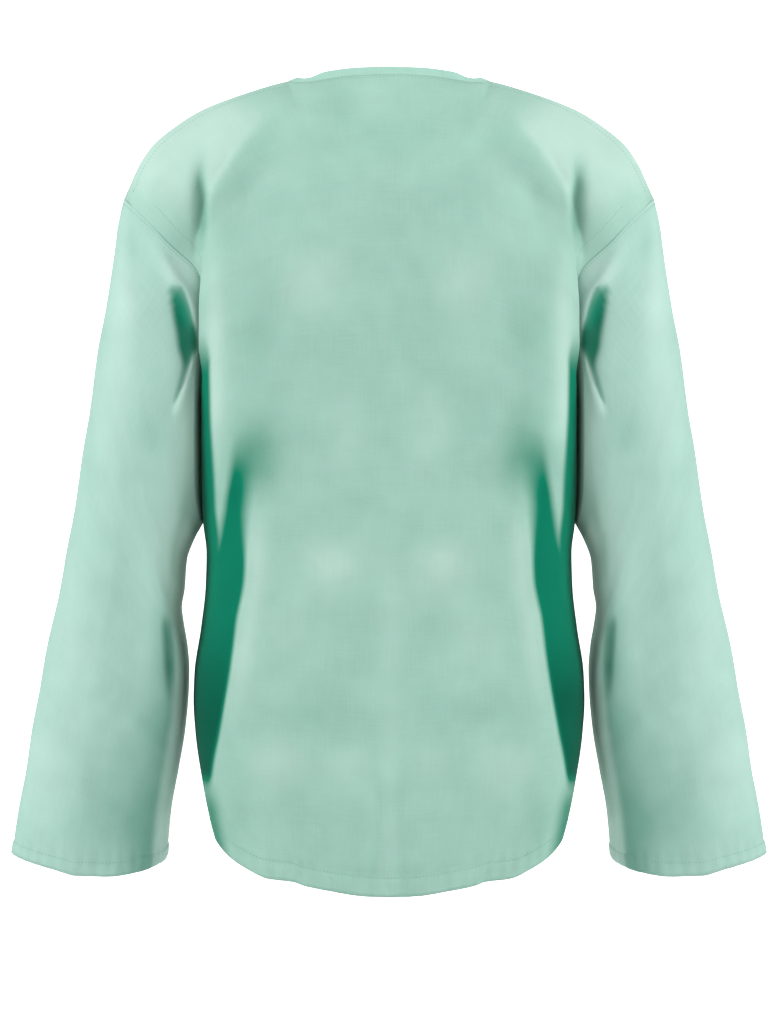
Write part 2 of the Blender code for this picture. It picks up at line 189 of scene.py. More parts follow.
class Path:
    """A smooth line through (x, z) points, read by its share of length."""

    def __init__(self, points):
        points = np.array(points, float)
        steps = np.concatenate([[0], np.cumsum(np.linalg.norm(np.diff(points, axis=0), axis=1))])
        share = steps / steps[-1]
        self.length = steps[-1]
        self.x, self.z = Line(zip(share, points[:, 0])), Line(zip(share, points[:, 1]))

    def at(self, share):
        return self.x(share), self.z(share)

    def beside(self, x, z, count=60):
        """Distance of points from the line, positive on its outer side, and the share there."""
        shares = np.linspace(0, 1, count)
        lx, lz = self.at(shares)
        best = np.full(x.shape, 1e9)
        signed, share = np.zeros(x.shape), np.zeros(x.shape)
        for i in range(count - 1):
            ex, ez = lx[i + 1] - lx[i], lz[i + 1] - lz[i]
            size = ex * ex + ez * ez
            u = np.clip(((x - lx[i]) * ex + (z - lz[i]) * ez) / size, 0, 1)
            dx, dz = x - (lx[i] + u * ex), z - (lz[i] + u * ez)
            away = np.hypot(dx, dz)
            nearer = away < best
            best = np.where(nearer, away, best)
            side = np.where(ex * dz - ez * dx > 0, 1.0, -1.0)
            signed = np.where(nearer, side * away, signed)
            share = np.where(nearer, (i + u) / (count - 1), share)
        return signed, share


def noise(x, z, scale, seed):
    """Smooth value noise from -1 to 1 on a grid of the given scale."""
    cells = 64
    table = np.random.default_rng(seed).uniform(-1, 1, (cells, cells))
    u, v = x / scale, z / scale
    i, j = np.floor(u).astype(int), np.floor(v).astype(int)
    fu, fv = u - i, v - j
    fu, fv = fu * fu * (3 - 2 * fu), fv * fv * (3 - 2 * fv)
    corner = lambda a, b: table[(i + a) % cells, (j + b) % cells]
    top = mix(corner(0, 0), corner(1, 0), fu)
    low = mix(corner(0, 1), corner(1, 1), fu)
    return mix(top, low, fv)


def seen(x, y, z):
    """Where the camera sees a point, on the plane of the shoulder seams."""
    scale = VIEW_DISTANCE / (VIEW_DISTANCE + y)
    return x * scale, VIEW_HEIGHT + (z - VIEW_HEIGHT) * scale


# -------------------- folds of the back

BLADE = Path([(0.104, -0.012), (0.148, -0.069), (0.167, -0.102), (0.175, -0.132),
              (0.1786, -0.1786)])
BLADE_HOLLOW = Path([(0.1745, -0.046), (0.1775, -0.068), (0.1785, -0.086), (0.1765, -0.107),
                     (0.1765, -0.125), (0.179, -0.15)])
SHOULDER_CREASE = Path([(0.19, -0.035), (0.204, -0.0405), (0.2185, -0.054), (0.231, -0.0775),
                        (0.2385, -0.096), (0.2445, -0.106)])
SIDE_CREASE = Path([(0.1275, -0.318), (0.1295, -0.345), (0.1312, -0.3772), (0.1335, -0.403),
                    (0.1362, -0.4663), (0.1385, -0.48), (0.1435, -0.5035), (0.1475, -0.5355),
                    (0.156, -0.5864), (0.1605, -0.6118), (0.166, -0.64), (0.17, -0.672)])
WEDGE = Path([(0.14, -0.31), (0.1444, -0.3328), (0.1508, -0.3773), (0.1558, -0.409),
              (0.1609, -0.437), (0.168, -0.47)])
# Soft hollows (above 0) and swells of the back, with painted shade on the hollows and painted
# highlight on the swells: x, z, half width, half height, strength
BACK_SHADES = ((0.128, -0.346, 0.022, 0.034, 0.52), (0.114, -0.362, 0.018, 0.022, 0.1),
               (0.132, -0.235, 0.026, 0.045, 0.15), (0.03, -0.04, 0.06, 0.03, 0.08),
               (0.074, -0.178, 0.032, 0.034, -0.24), (0.053, -0.45, 0.026, 0.024, -0.36),
               (0.04, -0.33, 0.022, 0.05, -0.14), (0.08, -0.3, 0.03, 0.03, 0.06),
               (0.106, -0.64, 0.03, 0.024, -0.24), (0.04, -0.64, 0.018, 0.02, -0.18),
               (0.07, -0.59, 0.034, 0.018, 0.08), (0.085, -0.525, 0.03, 0.03, -0.12),
               (0.145, -0.69, 0.02, 0.04, 0.14))
SHADE_DEPTH = 0.03         # how deep a hollow of full strength is, as a share of its half width
# The body's edge rolls out over the armhole seam: how far, at heights
BACK_ROLL = Line([(-0.43, 0.0), (-0.4, 0.0), (-0.33, 0.0035), (-0.29, 0.005),
                  (-0.262, 0.0125), (-0.235, 0.015), (-0.205, 0.0125), (-0.1786, 0.003),
                  (-0.165, 0.0), (-0.104, 0.0)])
FRONT_ROLL = Line([(-0.43, 0.0), (-0.33, 0.003), (-0.24, 0.012), (-0.19, 0.006),
                   (-0.165, 0.0), (-0.104, 0.0)])


# Each spot pushes the cloth in or out, and paints shade on a hollow or highlight on a swell.
def add_shades(shades, sx, sz, push, painted_light_and_mottle):
    for px, pz, wide, tall, strength in shades:
        spot = strength * bell(np.hypot((sx - px) / wide, (sz - pz) / tall), 1.0)
        push, painted_light_and_mottle = push + SHADE_DEPTH * wide * spot, painted_light_and_mottle + spot
    return push, painted_light_and_mottle


def blade_folds(sx, sz):
    """The roll over the shoulder blade, with painted highlight outside it and a little painted shade
    in the valley inside it, the hollow by the armhole with painted shade in it, and the shoulder's
    crease.
    """
    d, u = BLADE.beside(sx, sz)
    strength = window((0.05, 0.55), (0.85, 1.0), u)
    push = -0.0065 * strength * window((-0.034, -0.003), (0.0, 0.008), d)
    push = push + 0.0018 * bell(d + 0.03, 0.014) * window((0.0, 0.3), (0.5, 0.8), u)
    valley = bell(d + 0.013, 0.012) * window((0.0, 0.3), (0.45, 0.75), u)
    above = smooth(-0.004, 0.008, d) * window((0.02, 0.25), (0.55, 0.8), u)
    # a little painted shade in the valley, painted highlight outside the roll
    painted_light_and_mottle = 0.07 * valley - 0.42 * above
    d, u = BLADE_HOLLOW.beside(sx, sz)
    wide = mix(0.008, 0.005, u) * np.where(d < 0, 0.75, 1.25)
    hollow = bell(d, wide) * smooth(0.0, 0.45, u) * (1 - 0.75 * smooth(0.75, 1.0, u))
    push = push + 0.0085 * hollow
    # painted shade in the hollow
    painted_light_and_mottle = painted_light_and_mottle * (1 - hollow) + 0.42 * hollow * smooth(0.1, 0.5, u)
    d, u = SHOULDER_CREASE.beside(sx, sz)
    return push + 0.0011 * bell(d, 0.0016) * smooth(0.0, 0.15, u), painted_light_and_mottle


def side_folds(sx, sz):
    """The deep crease down the side, with painted deep shade in it, the wedge in its top, painted
    nearly plain, and painted highlight on the cloth beside it.
    """
    d, u = SIDE_CREASE.beside(sx, sz)
    soft = mix(0.02, 0.0045, smooth(0.06, 0.4, u))
    step = smooth(-soft * 0.5, soft, d) * window((0.0, 0.2), (0.93, 1.0), u)
    from_wedge, _ = WEDGE.beside(sx, sz)
    wedge_end = fade(0.425, 0.455, -sz)
    push = 0.005 * step * (1.0 - smooth(-0.012, 0.014, from_wedge) * wedge_end)
    # painted shade in the crease, deeper low down; the wedge is painted nearly plain
    dark = 1.1 + 0.55 * smooth(0.48, 0.6, -sz)
    shade = mix(dark, 0.1, smooth(-0.003, 0.007, from_wedge) * wedge_end)
    painted_light_and_mottle = step * shade * (1 - 0.6 * smooth(0.645, 0.7, -sz))
    # painted highlight beside the crease, and on a strip by the body's edge higher up
    painted_light_and_mottle = painted_light_and_mottle - 0.3 * bell(d + 0.01, 0.01) * window((0.39, 0.43), (0.52, 0.62), -sz)
    painted_light_and_mottle = painted_light_and_mottle - 0.42 * bell(sx - 0.166, 0.01) * window((0.12, 0.24), (0.29, 0.37), -sz)
    return push, painted_light_and_mottle


def back_folds(x, y, z):
    """How far forwards (+Y, into the body) the folds push the back, and the light painted there: 1
    painted deep shade in a fold, 0 plain cloth, -1 full painted highlight, with a little random
    mottle."""
    sx, sz = seen(np.abs(x), y, z)
    push, painted_light_and_mottle = blade_folds(sx, sz)
    side_push, side_tone = side_folds(sx, sz)
    push, painted_light_and_mottle = add_shades(BACK_SHADES, sx, sz, push + side_push, painted_light_and_mottle + side_tone)
    # a soft crease beside the middle, with a little painted shade in it, and a painted highlight
    # along the middle lower down
    centre_crease = bell(sx - 0.014 - 0.004 * np.sin(sz * 30), 0.005) * smooth(0.56, 0.7, -sz)
    push = push - 0.001 * centre_crease
    painted_light_and_mottle = painted_light_and_mottle + 0.07 * centre_crease - 0.1 * bell(sx, 0.012) * smooth(0.3, 0.5, -sz)
    push = push + 0.0011 * noise(x + 3, z * 0.6, 0.045, 5) + 0.0005 * noise(x, z, 0.018, 6)
    painted_light_and_mottle = painted_light_and_mottle + 0.05 * noise(x + 5, z, 0.03, 7) + 0.03 * noise(x + 9, z, 0.013, 8)
    return push, painted_light_and_mottle


def front_folds(x, y, z):
    """Soft folds of the hidden front, which drape from the shoulders to the hem."""
    ax = np.abs(x)
    down = smooth(0.1, 0.6, -z)
    lean = 0.03 * smooth(0.1, 0.7, -z)
    push = 0.0055 * np.sin((ax - 0.02 - lean) * 2 * math.pi / 0.075) * down
    push = push + 0.003 * bell(np.hypot((ax - 0.15) * 1.6, z + 0.15), 0.03)
    push = push + 0.0016 * noise(x + 7, z * 0.5, 0.05, 11)
    # the lapped edges lie flat, so that the press studs close
    return push * smooth(0.024, 0.06, ax), 0.05 * noise(x + 5, z, 0.03, 12)


# -------------------- the body's surface

EDGE_AT = Line(EDGE)
ARMHOLE_AT = Line(ARMHOLE_DEPTH)
SHOULDER_AT = Line(SHOULDER)
HEM_AT = {-1: Line(BACK_HEM), 1: Line(FRONT_HEM)}
DEPTH_AT = {-1: Line(BACK_DEPTH), 1: Line(FRONT_DEPTH)}
BACK_POWER_AT = Line(BACK_POWER)


def top_height(side, x):
    """Height of the panels' top edge, under the neck binding. side is -1 for the back, 1 for
    the front."""
    x = np.abs(x)
    height = SHOULDER_AT(x)
    inside = np.clip(x / NECK_HALF_WIDTH, 0, 1)
    if side > 0:
        scooped = SHOULDER_AT(NECK_HALF_WIDTH) - NECK_FRONT_DROP * (1 - inside ** 2.5)
        height = np.where(x < NECK_HALF_WIDTH, scooped, height)
    return height - BAND_HEIGHT * (1 - inside ** 8)


def neck_half_depth(side, x):
    reach = NECK_FRONT_DEPTH if side > 0 else NECK_BACK_DEPTH
    inside = np.clip(np.abs(x) / NECK_HALF_WIDTH, 0, 1)
    return reach * (1 - inside ** 2) ** 0.6


def body_depth(side, s, z, z_edge, z_top):
    """How far the cloth stands from the plane of the shoulder seams."""
    part = np.abs(s)
    power = BACK_POWER_AT(z) if side < 0 else FRONT_POWER
    section = np.maximum(1 - part ** power, 0) ** (1 / power)
    # over the shoulder the cloth runs straight on into the sleeve
    section = mix(section, 1 - part ** 1.7, fade(0.165, 0.235, -z_edge))
    seam = ARMHOLE_AT(z_edge)
    full = seam + (DEPTH_AT[side](z) - seam) * section
    ridge = mix(RIDGE[side], ARMHOLE_RIDGE, smooth(0.7, 1.0, part))
    share = np.clip((z_top - z) / ridge, 0, 1)
    rounding = mix(1.0, 0.5, smooth(0.07, 0.14, part * TIP_X))
    rise = (1 - (1 - share) ** 2) ** rounding
    return mix(neck_half_depth(side, s * TIP_X), full, rise)


def hem_relief(above_hem, height, groove, pucker, reach):
    """A turned hem is a double layer, a little proud of the single cloth, grooved along its
    stitches and slightly gathered."""
    proud = 0.0008 * fade(height - 0.001, height + 0.001, above_hem)
    gathers = 0.00045 * pucker * bell(above_hem - height * 0.6, reach)
    return proud - groove * bell(above_hem - height, 0.0014) + gathers


def body_shade(part, z, painted_light_and_mottle):
    """Deep shade on the side of the slot beside the sleeve, and along the hip's edge."""
    slot = smooth(0.9, 0.93, part) * window((0.225, 0.275), (0.46, 0.5), -z)
    hip = smooth(0.865, 0.965, part) * window((0.64, 0.68), (0.71, 0.76), -z)
    return mix(mix(painted_light_and_mottle, 1.0, slot), 0.8, hip)


def body_surface(side, s, t):
    """The body's outer face, as an array of points, and the light painted at each, with its mottle.
    s runs from -1 at the wearer's left edge to 1 at the right one, t from the top edge to the hem."""
    z_edge = mix(TIP_Z, HEM_EDGE_Z, t)
    part = np.abs(s)
    roll = (BACK_ROLL if side < 0 else FRONT_ROLL)(z_edge) * window((0.55, 0.94), (0.955, 1.0), part)
    x = np.sign(s) * (part * EDGE_AT(z_edge) + roll)
    z_top = top_height(side, s * TIP_X)
    z_hem = HEM_AT[side](part * HEM_END)
    z = mix(z_top, z_hem, t)
    y = side * body_depth(side, s, z, z_edge, z_top)
    push, painted_light_and_mottle = (back_folds if side < 0 else front_folds)(x, y, z)
    # folds fade out at the seams and at the neckline, so that neighbouring pieces still meet
    y = y + push * smooth(0.0, 0.02, z_top - z) * fade(0.985, 1.0, part)
    pucker = np.sin(x * 2 * math.pi / 0.013 + 2.5 * noise(x, z, 0.03, 3))
    y = y + side * hem_relief((1 - t) * (z_top - z_hem), BODY_HEM, 0.001, pucker, 0.014)
    if side < 0:
        painted_light_and_mottle = body_shade(part, z, painted_light_and_mottle)
    return np.stack([x, y, z], axis=-1), painted_light_and_mottle


# -------------------- folds of a sleeve

OUTER, INNER = Path(SLEEVE_OUTER), Path(SLEEVE_INNER)
SLEEVE_DEPTH_AT = Line(SLEEVE_DEPTH)
SAG_AT = Line(CUFF_SAG)
CAP_ROLL = Path([(0.23, -0.142), (0.2204, -0.15), (0.206, -0.177), (0.1905, -0.2),
                 (0.183, -0.22)])
UNDERARM_GROOVE = Path([(0.2033, -0.1796), (0.2007, -0.193), (0.1962, -0.2138), (0.1919, -0.2394),
                        (0.191, -0.26), (0.195, -0.2755), (0.2035, -0.296)])
GROOVE_WIDTH = Line([(0.0, 0.0005), (0.115, 0.007), (0.296, 0.009), (0.516, 0.0092),
                     (0.69, 0.0054), (0.826, 0.004), (1.0, 0.001)])
GROOVE_LIP = Path([(0.1815, -0.252), (0.19, -0.27), (0.1955, -0.288), (0.204, -0.316)])
# Soft hollows (above 0) and swells of a sleeve's back, as for the body, with painted shade on the
# hollows and painted highlight on the swells
SLEEVE_SHADES = ((0.262, -0.69, 0.034, 0.05, 0.3), (0.24, -0.6, 0.022, 0.06, 0.12),
                 (0.225, -0.33, 0.018, 0.05, 0.1), (0.252, -0.2, 0.012, 0.06, -0.35),
                 (0.262, -0.3, 0.016, 0.06, -0.25), (0.305, -0.52, 0.02, 0.09, -0.22),
                 (0.33, -0.65, 0.022, 0.06, -0.25), (0.204, -0.44, 0.014, 0.055, -0.4),
                 (0.188, -0.34, 0.012, 0.06, -0.6), (0.2, -0.17, 0.016, 0.014, -0.25),
                 (0.245, -0.15, 0.006, 0.022, 0.2))
INNER_CREASE = Path([(0.215, -0.495), (0.2144, -0.514), (0.212, -0.548), (0.21, -0.585)])


def underarm_folds(sx, sz):
    """The deep groove below the armhole, with painted shade in it, and the lip of cloth across its
    lower end, with painted highlight on it.
    """
    d, u = UNDERARM_GROOVE.beside(sx, sz)
    wide = GROOVE_WIDTH(u)
    push = 0.004 * bell(d, wide) * window((0.0, 0.25), (0.8, 1.0), u)
    soft = np.where(d > 0, 0.0036, 0.002)
    # painted shade in the groove
    painted_light_and_mottle = 0.95 * smooth(-soft, soft, wide - np.abs(d)) * smooth(0.0, 0.1, u)
    d, u = GROOVE_LIP.beside(sx, sz)
    lip = bell(d, 0.004) * fade(0.75, 1.0, u)
    return push - 0.004 * lip, painted_light_and_mottle * (1 - 0.9 * lip) - 0.35 * lip


def sleeve_folds(x, y, z):
    """How far the folds push the sleeve's back towards +Y, and the light painted there: shade above
    0, highlight below, with a little random mottle.
    """
    sx, sz = seen(x, y, z)
    push, painted_light_and_mottle = underarm_folds(sx, sz)
    d, u = CAP_ROLL.beside(sx, sz)
    push = push - 0.0045 * bell(d, 0.0075) * smooth(0.0, 0.25, u)
    # painted highlight along the roll of the cap
    painted_light_and_mottle = painted_light_and_mottle - 0.25 * bell(d, 0.005) * smooth(0.1, 0.4, u)
    d, u = INNER_CREASE.beside(sx, sz)
    along = window((0.0, 0.2), (0.55, 1.0), u)
    push = push + 0.0045 * window((-0.002, 0.004), (0.004, 0.022), -d) * along
    # painted shade along the inner crease
    painted_light_and_mottle = painted_light_and_mottle + 0.28 * bell(d + 0.003, 0.0045) * along
    push, painted_light_and_mottle = add_shades(SLEEVE_SHADES, sx, sz, push, painted_light_and_mottle)
    push = push + 0.0012 * noise(x + 1, z * 0.5, 0.04, 21) + 0.0005 * noise(x, z, 0.017, 22)
    painted_light_and_mottle = painted_light_and_mottle + 0.05 * noise(x + 5, z, 0.03, 23) + 0.03 * noise(x + 9, z, 0.013, 24)
    return push, painted_light_and_mottle


# -------------------- a sleeve's surface

def sleeve_tube(t, turn, lean):
    """The sleeve without its folds: a flattened tube, which starts in the armhole's shape.
    lean is 1 on the outer line and 0 on the inner one."""
    side = np.sign(np.sin(turn))
    power = mix(mix(*INNER_POWER, smooth(0.15, 0.4, t)), OUTER_POWER, smooth(0.3, 0.7, lean))
    bulge = side * np.maximum(1 - np.abs(np.cos(turn)) ** power, 0) ** (1 / power)
    (ox, oz), (ix, iz) = OUTER.at(t), INNER.at(t)
    z_arm = mix(UNDERARM_Z, TIP_Z, lean)
    x_apart = EDGE_AT(z_arm) - mix(SLEEVE_INNER[0][0], SLEEVE_OUTER[0][0], lean)
    y_apart = side * ARMHOLE_AT(z_arm) - bulge * SLEEVE_DEPTH[0][1]
    # low on the armhole the cloth stands off from the body at once, which opens the slot
    low = fade(0.45, 0.75, lean)
    stand_off = mix(0.002, mix(0.003, 0.0085, smooth(-0.3, -0.255, z_arm)), low)
    stand_off = stand_off * smooth(0.0, mix(0.06, 0.018, low), t) * smooth(0.0, 0.1, lean)
    x = mix(ix, ox, lean) + (x_apart + stand_off) * fade(0.0, 0.22, t)
    y = bulge * SLEEVE_DEPTH_AT(t) + y_apart * fade(0.0, mix(0.1, 0.016, low), t)
    z = mix(iz, oz, lean) - SAG_AT(1 - lean) * t ** 6
    return x, y + SLEEVE_FORWARD * t * t, z


def sleeve_shade(t, outward, z, painted_light_and_mottle):
    """Painted deep shade on the wall that faces the body, down to the underarm, and painted shade
    along the armhole seam; below the underarm, painted green shade on the inner side, with a painted
    highlight along its edge and a little more painted shade at a notch. outward is 1 on the outer
    line and -1 on the inner one."""
    slot = fade(0.005, 0.012, t) * window((0.225, 0.262), (0.41, 0.45), -z)
    seam = 0.6 * fade(0.0, 0.0035, t) * smooth(0.125, 0.15, -z) * (1 - slot)
    inner = 0.46 * smooth(-0.3, -0.85, outward) * smooth(0.24, 0.42, t)
    edge = 1.1 * smooth(-0.8, -0.98, outward) * smooth(0.04, 0.08, t)
    notch = 0.3 * smooth(-0.93, -0.97, outward) * window((0.488, 0.5), (0.53, 0.56), -z)
    return mix(painted_light_and_mottle, 0.75, slot) + seam + inner - edge + notch


def sleeve_surface(t, turn):
    """The right sleeve. t runs from the armhole to the cuff, turn from the outer line round by
    the front (+Y) to the inner line and back."""
    cosine, sine = np.cos(turn), np.sin(turn)
    lean = (1 + cosine) / 2
    x, y, z = sleeve_tube(t, turn, lean)
    push, painted_light_and_mottle = sleeve_folds(x, y, z)
    back = smooth(0.0, 0.35, -sine)
    front = smooth(0.0, 0.4, sine) * smooth(0.0, 0.05, t)
    drape = 0.0025 * np.sin(z * 38 + x * 25) + 0.0015 * noise(x, z * 0.5, 0.04, 31)
    y = y + push * back * smooth(0.0, 0.035, t) + drape * front
    above_hem = (1 - t) * mix(INNER.length, OUTER.length, lean)
    out = hem_relief(above_hem, CUFF_HEM, 0.0009, np.sin(turn * 34), 0.011)
    points = np.stack([x + out * cosine, y + out * sine, z], axis=-1)
    return points, sleeve_shade(t, cosine, z, painted_light_and_mottle * back)


# -------------------- meshes

def linked(name, data):
    """A new object in the scene."""
    made = bpy.data.objects.new(name, data)
    bpy.context.collection.objects.link(made)
    return made


def grid_object(name, points, finish, cloth, painted_light_and_mottle=None, thickness=CLOTH, closed=False,
                capped=False, outward=None):
    """A piece from a grid of points on its middle surface, with its place on the flat cloth and the
    shade and highlight painted at each point, with its mottle."""
    rows, columns = points.shape[:2]
    index = np.arange(rows * columns).reshape(rows, columns)
    right = np.roll(index, -1, axis=1) if closed else index[:, 1:]
    left = index if closed else index[:, :-1]
    faces = np.stack([left[:-1], right[:-1], right[1:], left[1:]], axis=-1).reshape(-1, 4)
    faces = faces.tolist()
    if capped:
        faces += [index[0, ::-1].tolist(), index[-1].tolist()]
    mesh = bpy.data.meshes.new(name)
    mesh.from_pydata(points.reshape(-1, 3).tolist(), [], faces)
    middle = mesh.polygons[len(faces) // 2]
    if outward is not None and middle.normal.dot(Vector(outward(middle.center))) < 0:
        mesh.flip_normals()
    mesh.shade_smooth()
    flat = np.zeros((rows * columns, 3))
    flat[:, :2] = cloth.reshape(-1, 2)
    where = mesh.attributes.new("cloth", "FLOAT_VECTOR", "POINT")
    where.data.foreach_set("vector", flat.astype(np.float32).ravel())
    light_and_mottle_values = np.zeros(rows * columns) if painted_light_and_mottle is None else painted_light_and_mottle.ravel()
    shade = mesh.attributes.new("painted_light_and_mottle", "FLOAT", "POINT")
    shade.data.foreach_set("value", light_and_mottle_values.astype(np.float32))
    mesh.materials.append(finish)
    made = linked(name, mesh)
    if thickness:
        shell = made.modifiers.new("thickness", "SOLIDIFY")
        shell.thickness = thickness
        shell.offset = 0.0
    return made


def cloth_place(points, along_s, along_t):
    """Flat cloth coordinates in metres for a grid of points."""
    across = np.linalg.norm(np.diff(points, axis=1), axis=-1).mean(axis=0)
    down = np.linalg.norm(np.diff(points, axis=0), axis=-1).mean(axis=1)
    u = np.concatenate([[0], np.cumsum(across)])
    v = np.concatenate([[0], np.cumsum(down)])
    return np.stack(np.broadcast_arrays(u[None, :] + along_s, v[:, None] + along_t), axis=-1)


def body_rows(count):
    """Shares of the way down, closer together where the shoulder rounds."""
    u = np.linspace(0, 1, count)
    return 0.25 * u ** 2.2 + 0.75 * u


# -------------------- materials

class Nodes:
    """Short hand for a material's node tree."""

    def __init__(self, name):
        self.material = bpy.data.materials.new(name)
        self.material.use_nodes = True
        self.tree = self.material.node_tree
        self.shader = self.tree.nodes["Principled BSDF"]

    def add(self, kind, **inputs):
        """A new node. Inputs are named with _ for a space, and hold a value or a socket."""
        node = self.tree.nodes.new(kind)
        for key, value in inputs.items():
            self.fill(node.inputs[key.replace("_", " ")], value)
        return node

    def fill(self, socket, value):
        if isinstance(value, bpy.types.NodeSocket):
            self.tree.links.new(value, socket)
        elif socket.type == "RGBA":
            socket.default_value = (*value, 1.0)
        else:
            socket.default_value = value

    def settings(self, **inputs):
        for key, value in inputs.items():
            self.fill(self.shader.inputs[key.replace("_", " ")], value)

    def attribute(self, name, output):
        node = self.tree.nodes.new("ShaderNodeAttribute")
        node.attribute_name = name
        return node.outputs[output]

    def math(self, operation, a, b, clamp=False):
        node = self.tree.nodes.new("ShaderNodeMath")
        node.operation, node.use_clamp = operation, clamp
        self.fill(node.inputs[0], a)
        self.fill(node.inputs[1], b)
        return node.outputs[0]

    def mix_colour(self, share, a, b):
        node = self.tree.nodes.new("ShaderNodeMix")
        node.data_type = "RGBA"
        for number, value in ((0, share), (6, a), (7, b)):
            self.fill(node.inputs[number], value)
        return node.outputs[2]

    def noise(self, where, stretch, scale, detail, roughness=0.5):
        placed = self.add("ShaderNodeMapping", Vector=where, Scale=stretch).outputs[0]
        made = self.add("ShaderNodeTexNoise", Vector=placed, Scale=scale, Detail=detail,
                        Roughness=roughness)
        return made.outputs["Fac"]

    def bump(self, height, strength, distance):
        made = self.add("ShaderNodeBump", Strength=strength, Distance=distance, Height=height)
        self.tree.links.new(made.outputs[0], self.shader.inputs["Normal"])
        return made.outputs[0]


def times(colour, factor):
    return tuple(min(1.0, c * factor) for c in colour)


def woven_threads(nodes, where):
    """Slubs: long thin streaks along both threads of a plain weave, from 0 to 1."""
    weft = nodes.noise(where, (26, 700, 1), 1.0, 2.0, 0.6)
    warp = nodes.noise(where, (700, 26, 1), 1.0, 2.0, 0.6)
    both = nodes.math("SUBTRACT", nodes.math("ADD", weft, warp), 1.0)
    return nodes.math("ADD", nodes.math("MULTIPLY", both, 1.6), 0.5, clamp=True)


def weave(nodes, where):
    """The crossings of the threads, THREAD_GAP apart."""
    split = nodes.add("ShaderNodeSeparateXYZ", Vector=where)
    waves = [nodes.math("SINE", nodes.math("MULTIPLY", along, 2 * math.pi / THREAD_GAP), 0.0)
             for along in split.outputs[:2]]
    return nodes.math("MULTIPLY", *waves)


def let_light_through(nodes, colour, normal, share):
    """Thin cloth: a share of the light comes through from its other side."""
    thin = nodes.add("ShaderNodeBsdfTranslucent", Color=colour, Normal=normal)
    both = nodes.tree.nodes.new("ShaderNodeMixShader")
    both.inputs[0].default_value = share
    nodes.tree.links.new(nodes.shader.outputs[0], both.inputs[1])
    nodes.tree.links.new(thin.outputs[0], both.inputs[2])
    nodes.tree.links.new(both.outputs[0], nodes.tree.nodes["Material Output"].inputs["Surface"])


def cloth_material(name, colour, shade_colour, highlight_colour=None, through=0.22):
    """Plain-weave cloth, softly mottled, with its slubs and weave in the bump. The light painted on
    the mesh turns it towards the shade colour above 0, as painted shade, and towards the highlight
    colour below 0, as painted highlight."""
    nodes = Nodes(name)
    where, painted_light_and_mottle = nodes.attribute("cloth", "Vector"), nodes.attribute("painted_light_and_mottle", "Fac")
    mottle = nodes.noise(where, (1, 1, 1), 22.0, 4.0, 0.55)
    shade = nodes.mix_colour(mottle, times(colour, 0.88), times(colour, 1.1))
    threads = woven_threads(nodes, where)
    shade = nodes.mix_colour(nodes.math("MULTIPLY", threads, 0.26), shade, times(colour, 1.22))
    # painted shade: towards the shade colour where the painted value is above 0
    shade = nodes.mix_colour(nodes.math("MULTIPLY", painted_light_and_mottle, 1.0, clamp=True), shade, shade_colour)
    if highlight_colour:
        # painted deeper shade where the painted value passes 1
        deepest_shade = nodes.math("SUBTRACT", painted_light_and_mottle, 1.0, clamp=True)
        shade = nodes.mix_colour(deepest_shade, shade, times(shade_colour, 0.25))
        # painted highlight: towards the highlight colour where the painted value is below 0
        lit = nodes.math("MULTIPLY", painted_light_and_mottle, -1.0, clamp=True)
        shade = nodes.mix_colour(lit, shade, highlight_colour)
    nodes.settings(Base_Color=shade, Roughness=0.85, Specular_IOR_Level=0.04, Sheen_Weight=0.05,
                   Sheen_Roughness=0.45)
    height = nodes.math("ADD", nodes.math("MULTIPLY", weave(nodes, where), 0.35),
                        nodes.math("MULTIPLY", threads, 1.1))
    normal = nodes.bump(height, 0.22, 0.0004)
    if through:
        let_light_through(nodes, shade, normal, through)
    return nodes.material


def plastic_material(name, colour):
    """Moulded plastic with faint speckles and a satin gloss."""
    nodes = Nodes(name)
    where = nodes.add("ShaderNodeTexCoord").outputs["Object"]
    speckle = nodes.noise(where, (1, 1, 1), 900.0, 3.0)
    rough = nodes.math("ADD", nodes.math("MULTIPLY", speckle, 0.15), 0.25)
    nodes.settings(Base_Color=nodes.mix_colour(speckle, times(colour, 0.9), colour),
                   Roughness=rough)
    nodes.bump(speckle, 0.1, 0.0001)
    return nodes.material


THREAD_GAP = 0.00055        # from thread to thread of the weave
MINT = (0.35, 0.57, 0.485)
# the colours of painted shade and painted highlight, towards which the painted light turns the cloth
SHADE_MINT = (0.003, 0.215, 0.125)
HIGHLIGHT_MINT = (0.64, 0.82, 0.75)
BODY_CLOTH = cloth_material("body_cloth", MINT, SHADE_MINT, HIGHLIGHT_MINT)
# the sleeves' cloth is painted paler than the body's: a painted highlight for the side light that
# falls on them
SLEEVE_CLOTH_PAINTED_LIGHTER = cloth_material("sleeve_cloth", (0.39, 0.605, 0.53), SHADE_MINT, HIGHLIGHT_MINT)
FACING_CLOTH = cloth_material("facing_cloth", (0.335, 0.55, 0.47), SHADE_MINT, through=0.12)
BINDING_CLOTH = cloth_material("neck_binding", (0.34, 0.56, 0.475), SHADE_MINT, through=0.1)
LABEL_TAPE = cloth_material("label_tape", (0.78, 0.8, 0.78), (0.5, 0.5, 0.5), through=0.1)
THREAD = cloth_material("thread", (0.2, 0.4, 0.33), SHADE_MINT, through=0.0)
STUD_PLASTIC = plastic_material("press_stud", (0.7, 0.8, 0.76))

# -------------------- layers of the surfaces

STEP = 1e-4                 # for measuring a surface's normals


